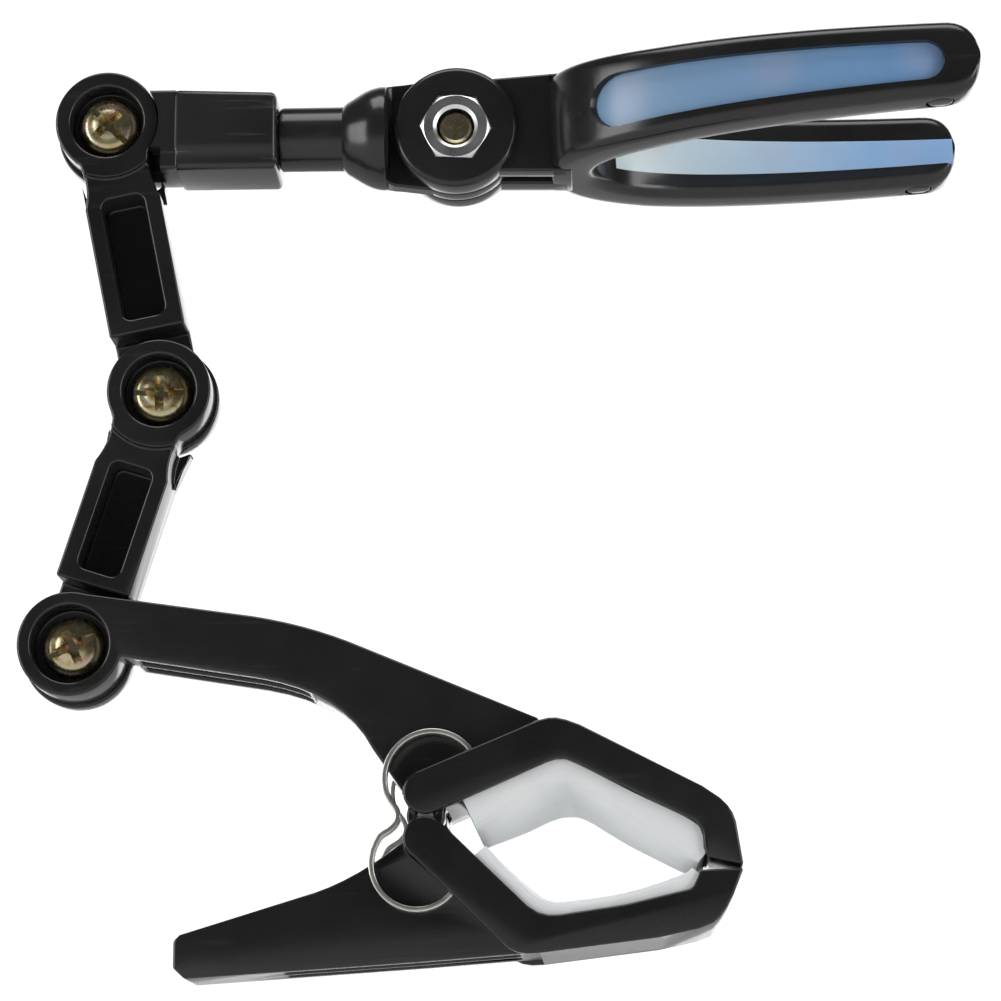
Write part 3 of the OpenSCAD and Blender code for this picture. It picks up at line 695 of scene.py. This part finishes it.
def turned_piece(name, profile, centre=(0, 0), axis="Y", corners=64):
    """A turned form in millimetres: a disc that is extruded and scaled along the axis, step by
    step. The profile is a row of (station along the axis, radius)."""
    fresh()
    way = Vector({"X": (1, 0, 0), "Y": (0, 1, 0), "Z": (0, 0, 1)}[axis])
    middle = Vector({"X": (0, *centre), "Y": (centre[0], 0, centre[1]), "Z": (*centre, 0)}[axis])
    tilt = {"X": (0, math.pi / 2, 0), "Y": (math.pi / 2, 0, 0), "Z": (0, 0, 0)}[axis]
    smallest = 0.02
    at, radius = profile[0]
    radius = max(radius, smallest)
    bpy.ops.mesh.primitive_circle_add(vertices=corners, radius=radius * mm, fill_type="NGON",
                                      location=(middle + way * at) * mm, rotation=tilt)
    piece = bpy.context.object
    piece.name = name
    settle(piece)
    bpy.ops.object.mode_set(mode="EDIT")
    bpy.ops.mesh.select_mode(type="FACE")
    bpy.ops.mesh.select_all(action="SELECT")
    for next_at, next_radius in profile[1:]:
        next_radius = max(next_radius, smallest)
        bpy.ops.mesh.extrude_region_move(TRANSFORM_OT_translate={"value": way * (next_at - at) * mm})
        ratio = next_radius / radius
        bpy.ops.transform.resize(value=(ratio, ratio, ratio),
                center_override=(middle + way * next_at) * mm)
        at, radius = next_at, next_radius
    bpy.ops.mesh.select_all(action="SELECT")
    bpy.ops.mesh.normals_make_consistent(inside=False)
    bpy.ops.object.mode_set(mode="OBJECT")
    return piece


def copy_of(piece, name):
    """A copy with its own mesh."""
    twin = bpy.data.objects.new(name, piece.data.copy())
    bpy.context.scene.collection.objects.link(twin)
    return twin


def curve_through(points, steps=5):
    """Points of a smooth curve that passes through every given point."""
    points = [Vector(p) for p in points]
    ends = [points[0] * 2 - points[1]] + points + [points[-1] * 2 - points[-2]]
    row = []
    for a, b, c, d in zip(ends, ends[1:], ends[2:], ends[3:]):
        for i in range(steps):
            t = i / steps
            row.append(0.5 * ((2 * b) + (c - a) * t + (2 * a - 5 * b + 4 * c - d) * t * t
                              + (3 * b - a - 3 * c + d) * t ** 3))
    return row + [points[-1]]


def arc_points(centre, radius, a0, a1, count):
    return [(centre[0] + radius * math.cos(math.radians(a0 + (a1 - a0) * i / count)),
             centre[1] + radius * math.sin(math.radians(a0 + (a1 - a0) * i / count)))
            for i in range(count + 1)]


# ---------- swivel block and rod ----------

swivel_z = head_hinge.z / mm
upper_x, upper_z = hinge["upper_fold"].x / mm, hinge["upper_fold"].z / mm
block_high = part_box("swivel_block")[1] / mm
block_right = block_high.x - 0.85
block_left = block_high.x - 14.2


def block_outline(x, shrink):
    """Cross-section of the swivel block, with a low step across its front."""
    lift = 0.5 * (block_right - x) / 14.2
    top, bottom = 5.2 + lift - shrink, -5.2 + shrink
    front, back = -5.2 + shrink, 6.3 - shrink
    corners = []
    for cy, cz, r, a0 in ((back - 1.2, top - 1.2, 1.2, 0), (front + 0.9, top - 0.9, 0.9, 90),
                          (front + 0.6 + 0.9, bottom + 0.9, 0.9, 180),
                          (back - 1.2, bottom + 1.2, 1.2, 270)):
        if a0 == 180:
            corners += [(front, -1.8), (front + 0.08, -2.15), (front + 0.3, -2.9),
                    (front + 0.55, -3.5)]
        corners += [(cy + r * math.cos(math.radians(a0 + 15 * i)),
                cz + r * math.sin(math.radians(a0 + 15 * i)))
                    for i in range(7)]
    return [(x, y, swivel_z + z) for y, z in corners]


swivel_block = tube_through("swivel_block_body", [
    block_outline(x, s) for x, s in ((block_left - 0.4, 0.55), (block_left - 0.1, 0.15),
    (block_left + 0.3, 0),
                                     (block_right - 0.75, 0), (block_right - 0.35, 0.12),
                                     (block_right - 0.1, 0.4), (block_right, 0.75))])
rod_hole = round_bar((0, 0), 3.45, -30, 30)
alone(rod_hole)
bpy.ops.transform.rotate(value=math.pi / 2, orient_axis="Z", center_override=(0, 0, 0))
rod_hole.location = (block_right * mm + 0.019, 0, swivel_z * mm)
settle(rod_hole)
carve(swivel_block, rod_hole)
cheek = block((upper_x, -4.85, swivel_z - 5.2), (block_left + 0.2, 4.25, swivel_z + 5.68), 0.45)
boss_room = round_bar((upper_x, upper_z), 7.0, -10, 1.4)
carve(cheek, boss_room)
corner_room = block((upper_x - 2, -10, swivel_z - 7), (upper_x + 7.35, 1.4, swivel_z - 2.2))
carve(cheek, corner_room)
tongue = round_bar((upper_x, upper_z), 7.3, 1.45, 4.25, front=0.25, back=0.35)
for half in (tongue, cheek):
    nut_room = round_bar((0, 0), 4.1, 2.65, 10, corners=6)
    turned_to(nut_room, hinge["upper_fold"], 0)
    carve(half, nut_room)
swivel_block = join([swivel_block, cheek, tongue], "swivel_block_body")
finish_piece(swivel_block, black_satin, body_of_node["swivel_block"], ("swivel_block",), 32)

rod_end, collar_end = -31.8, -26
collar = [(block_right + 0.1, 3.9), (block_right + 0.35, 4.2), (block_right + 0.7, 4.3),
        (rod_end - 0.5, 4.3),
          (rod_end - 0.15, 4.36), (rod_end + 0.1, 4.6), (rod_end + 0.5, 4.95),
          (rod_end + 1.2, 5.35),
          (rod_end + 2, 5.85), (rod_end + 2.9, 6.35), (rod_end + 3.8, 6.7), (rod_end + 4.7, 6.9),
          (rod_end + 5.4, 6.93), (rod_end + 5.65, 6.82), (collar_end, 6.5), (collar_end + 0.3, 5.6),
          (collar_end + 0.32, 2)]
rod = turned_piece("swivel_rod_body", collar, (0, swivel_z), "X", 80)
journal = turned_piece("journal",
        [(block_left + 3.3, 3.0), (block_left + 3.6, 3.4), (block_right + 0.3, 3.4)],
                       (0, swivel_z), "X")
tongue_disc = round_bar((head_hinge.x / mm, swivel_z), 8.25, -1.35, 1.35, front=0.35, back=0.35)
tongue_web = tube_through("tongue_web", [
    [(x, y, swivel_z + z) for y, z in ((-w, -h + 0.3), (-w + 0.3, -h), (w - 0.3, -h), (w, -h + 0.3),
                                       (w, h - 0.3), (w - 0.3, h), (-w + 0.3, h), (-w, h - 0.3))]
    for x, h, w in ((collar_end - 0.5, 6.4, 2.6), (collar_end + 0.25, 6.75, 1.75),
            (collar_end + 0.9, 6.95, 1.45),
                    (collar_end + 1.8, 7.05, 1.35), (collar_end + 4.5, 7.4, 1.35),
                    (collar_end + 6.8, 7.7, 1.35),
                    (collar_end + 8.6, 7.0, 1.35))])
swivel_rod = join([rod, journal, tongue_disc, tongue_web], "swivel_rod_body")
finish_piece(swivel_rod, black, body_of_node["swivel_rod"], ("swivel_rod",), 34)


# ---------- switch buttons and the battery hatch ----------

switch_x, switch_y = 62.4, 18.83
for side, node in ((-1, "near_switch_button"), (1, "far_switch_button")):
    hole = turned_piece("button_hole", [(-9, 1.85), (-1.9, 1.85)], (switch_x, side * switch_y), "Z",
            48)
    turned_to(hole, head_hinge, -3)
    carve(horseshoe, hole)
    button = turned_piece(node + "_body",
            [(-5.62, 0.1), (-5.62, 1.2), (-5.52, 1.5), (-5.3, 1.68), (-2.8, 1.7)],
                          (switch_x, side * switch_y), "Z", 48)
    turned_to(button, head_hinge, -3)
    finish_piece(button, black, body_of_node[node], (node,), 40)
smooth(horseshoe, 32)

hatch = block((13.25, -5.55, 4.7), (17.55, 5.55, 6.2), 0.18)
notch = round_bar((15.4, 6.75), 0.95, -2, 2, front=0.4, back=0.4)
carve(hatch, notch)
hatch.name = "battery_hatch_body"
turned_to(hatch, head_hinge, -3)
finish_piece(hatch, black, body_of_node["battery_hatch"], ("battery_hatch",), 30)


# ---------- screws, nuts and the head bolt ----------

def pan_head(radius, height, dome):
    """Half profile of a pan head whose seat is at y = 0 and whose face looks to -y."""
    edge = radius * 0.46
    profile = [(0, radius * 0.5), (0, radius - 0.08), (-0.1, radius)]
    for i in range(1, 8):
        a = math.radians(90 * i / 7)
        profile.append((-(height - dome - edge) - edge * math.sin(a),
                radius - edge + edge * math.cos(a)))
    flat = radius - edge
    for i in range(1, 8):
        r = flat * (1 - i / 7)
        profile.append((-(height - dome) - dome * (1 - (r / flat) ** 2), r))
    return profile


def cross_cutter(reach, width, y0, y1, slot=0.0):
    """A cross recess that narrows downwards, with a plain slot through it where slot is its reach."""
    tools = []
    for turn in (0, 90):
        arm = tube_through("arm", [
            [(sx * r, y, sz * w) for sx, sz in ((1, 1), (-1, 1), (-1, -1), (1, -1))]
            for y, r, w in ((y0 - 0.5, reach, width / 2), (y0 + 0.4, reach, width / 2),
                            (y1, reach * 0.42, width * 0.34))])
        tools.append(turned_to(arm, (0, 0, 0), turn))
    well = turned_piece("well", [(y0 - 0.5, width * 0.98), (y0 + 0.5, width * 0.9),
            (y1, width * 0.42)], corners=16)
    tools.append(well)
    if slot:
        tools.append(block((-slot, y0 - 0.5, -width * 0.36), (slot, y0 + 0.85, width * 0.36)))
    return tools


screw_model = turned_piece("screw_model", pan_head(4.1, 2.35, 0.45))
for tool in cross_cutter(2.25, 1.15, -2.35, -0.5, 3.35):
    carve(screw_model, tool)


def hinge_screw(node, joint, seat_y, turn):
    """A copy of the screw's head with a shank that reaches just past the nut."""
    head = copy_of(screw_model, node + "_body")
    shank = turned_piece("shank", [(-0.2, 1.99), (5.9 - seat_y, 1.99), (6.2 - seat_y, 1.7),
                                   (6.22 - seat_y, 0.3)], corners=40)
    screw = join([head, shank], node + "_body")
    turned_to(screw, hinge[joint] + Vector((0, seat_y * mm, 0)), turn)
    return finish_piece(screw, yellow_zinc, body_of_node[node], (node,), 32)


link_seat = -8.5 / 2 + 3.2
clip_seat = (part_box("lower_hinge_screw")[0].y / mm) + 2.4
hinge_screw("lower_hinge_screw", "lower_fold", clip_seat, -25)
hinge_screw("middle_hinge_screw", "middle_fold", link_seat, 0)
hinge_screw("upper_hinge_screw", "upper_fold", link_seat, 45)
bpy.data.objects.remove(screw_model)


def hex_nut(flats, y0, y1, bore, sink):
    """A hexagon nut with rounded corners, its face countersunk by sink."""
    corner = flats / 2 / math.cos(math.radians(30))
    nut = round_bar((0, 0), corner, y0, y1, corners=6)
    rounder = turned_piece("rounder", [
        (y0 - 0.03, flats / 2 - 0.11), (y0 + 0.18, flats / 2 + 0.25), (y0 + 0.36, corner + 0.06),
        (y1 - 0.36, corner + 0.06), (y1 - 0.18, flats / 2 + 0.25), (y1 + 0.03, flats / 2 - 0.11)],
        corners=100)
    carve(nut, rounder, "INTERSECT")
    hole = turned_piece("hole", [(y0 - 0.3, bore + sink + 0.3), (y0, bore + sink),
            (y0 + sink * 0.8, bore),
                                 (y1 + 1, bore)])
    carve(nut, hole)
    return nut


def place_nut(nut, node, centre, turn, material):
    nut.name = node + "_body"
    turned_to(nut, centre, turn)
    finish_piece(nut, material, body_of_node[node], (node,), 30)


place_nut(hex_nut(8.5, -5.2, -2.5, 2.52, 0.45), "head_nut", head_hinge, 33, bright_zinc)
nut_front, nut_back = (c.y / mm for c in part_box("lower_hinge_nut"))
nut_model = hex_nut(7, nut_front, nut_back, 2.02, 0.3)
for node, joint, turn in (("lower_hinge_nut", "lower_fold", 180 - 72.4),
                          ("middle_hinge_nut", "middle_fold", 180 - 101.6),
                          ("upper_hinge_nut", "upper_fold", 0)):
    place_nut(copy_of(nut_model, node), node, hinge[joint], turn, yellow_zinc)
bpy.data.objects.remove(nut_model)

bolt_head = turned_piece("bolt_head", pan_head(4.6, 2.65, 0.35))
for tool in cross_cutter(2.9, 1.2, -2.65, -0.6):
    carve(bolt_head, tool)
alone(bolt_head)
bpy.ops.transform.rotate(value=math.pi, orient_axis="Z", center_override=(0, 0, 0))
bolt_head.location = bolt_head.location + Vector((0, 3.95 * mm, 0))
settle(bolt_head)
bolt_shaft = turned_piece("bolt_shaft",
        [(-4.68, 1.5), (-4.66, 1.8), (-4.3, 2.12), (-2.4, 2.12), (-2.3, 2.48), (4.2, 2.48)])
head_bolt = join([bolt_head, bolt_shaft], "head_bolt_body")
turned_to(head_bolt, head_hinge, -3)
finish_piece(head_bolt, worn_zinc, body_of_node["head_bolt"], ("head_bolt",), 32)


# ---------- springs ----------

spring_line = ([(-9.5, 13.9), (-11.8, 13.3), (-13.9, 12.6)] + arc_points((-19.4, 9.4), 6.1, 30, 180,
        12)
               + [(-25.3, 7.9), (-24.7, 6.7), (-23.9, 5.5), (-23.8, 4.2), (-24.5, 3.1)]
               + arc_points((-21.3, -1.4), 5.8, 142, 318, 14))
spring_half = 0.34


def ribbon_spring(name, node, y0, y1):
    line = curve_through([(x, 0, z) for x, z in spring_line], 4)
    outlines = []
    for i, p in enumerate(line):
        way = (line[min(i + 1, len(line) - 1)] - line[max(i - 1, 0)]).normalized()
        out = Vector((-way.z, 0, way.x))
        outlines.append([tuple(p + out * across + Vector((0, (y0 + y1) / 2 + deep, 0)))
                         for across, deep in rounded_outline(spring_half, (y1 - y0) / 2, 0.14, 3)])
    piece = tube_through(name, outlines)
    settle(piece)
    smooth(piece, 40)
    piece.data.materials.append(spring_steel)
    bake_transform(piece)
    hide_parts(node)


ribbon_spring("near_ribbon_spring", "near_clip_spring", -8.3, -6.4)
ribbon_spring("far_ribbon_spring", "far_clip_spring", 6.4, 8.3)


# ---------- jaw pads ----------

def crowned_pad(name, node, attached, free, crown):
    """A soft pad whose face swells between its front and back edges: attached and free are the
    lines of its two faces seen from the side, crown the swell at each of their points."""
    outer = curve_through([(x, 0, z) for x, z in attached], 6)
    inner = curve_through([(x, 0, z) for x, z in free], 6)
    swell = [v.x for v in curve_through([(c, 0, 0) for c in crown], 6)]
    half, peak = 9.3, 3.0
    outlines = []
    for a, b, c in zip(outer, inner, swell):
        up = (b - a).normalized()
        edge = b - up * c
        outline = [a + Vector((0, -half + 0.05, 0)), a.lerp(edge, 0.5) + Vector((0, -half, 0)),
                edge - up * 0.45 + Vector((0, -half, 0)),
                   edge - up * 0.12 + Vector((0, -half + 0.12, 0))]
        for i in range(17):
            y = (-half + 0.45) + (2 * half - 0.9) * i / 16
            reach = (y - peak) / (half + peak if y < peak else half - peak)
            outline.append(edge + up * c * (1 - (1 if y < peak else 0.5) * abs(reach) ** 1.8) + Vector((0, y, 0)))
        back = edge + up * c * 0.5
        outline += [back - up * 0.12 + Vector((0, half - 0.12, 0)),
                back - up * 0.45 + Vector((0, half, 0)),
                    a.lerp(back, 0.5) + Vector((0, half, 0)), a + Vector((0, half - 0.05, 0))]
        outlines.append([tuple(p) for p in outline])
    pad = tube_through(name, outlines)
    finish_piece(pad, pale, body_of_node[node], (node,), 50)


crowned_pad("upper_soft_pad", "upper_jaw_pad",
            [(-15.4, 6.5), (-9.4, 9.15), (-5.4, 10.95), (-3.2, 11.6), (-1.0, 11.0), (6.2, 7.3),
            (13.2, 3.85), (14.75, 2.0), (15.1, -0.4)],
            [(-13.2, 1.8), (-8.4, 3.5), (-4.4, 5.3), (-2.1, 5.75), (0.2, 5.2), (5.5, 2.0),
            (11.2, -0.8), (13.2, -1.4), (14.1, -1.6)],
            [1.4, 2.6, 3.0, 3.1, 3.0, 2.2, 0.9, 0.4, 0.1])
crowned_pad("lower_soft_pad", "lower_jaw_pad",
            [(-14.0, -0.55), (-10.8, -3.6), (-7.2, -6.95), (-5.1, -8.0), (-2.9, -8.0), (5.1, -6.75),
            (13.0, -4.9), (14.3, -2.9)],
            [(-12.3, 0.9), (-9.2, -2.0), (-5.9, -4.75), (-4.4, -5.45), (-2.6, -5.5), (4.7, -4.5),
            (11.7, -2.6), (13.2, -2.0)],
            [0.3, 0.8, 1.0, 1.1, 1.1, 1.0, 0.6, 0.3])

finish_of_slot = {
    "black_plastic": black, "pale_rubber": pale, "yellow_zinc": yellow_zinc,
            "bright_zinc": bright_zinc,
    "spring_steel": spring_steel, "cell_steel": cell_steel, "milky_diffuser": milky_near,
    "led_board": board, "led_chip": chip,
}
for entry in frame["record"]["subparts"]:
    node = frame["nodes"][entry["node"]]
    for i in range(len(node.material_slots)):
        node.material_slots[i].material = finish_of_slot[entry["material_slot"]]
# the far diffuser gets the paler copy, painted light on the same plastic
frame["nodes"]["far_diffuser"].material_slots[0].material = milky_far_painted_lighter
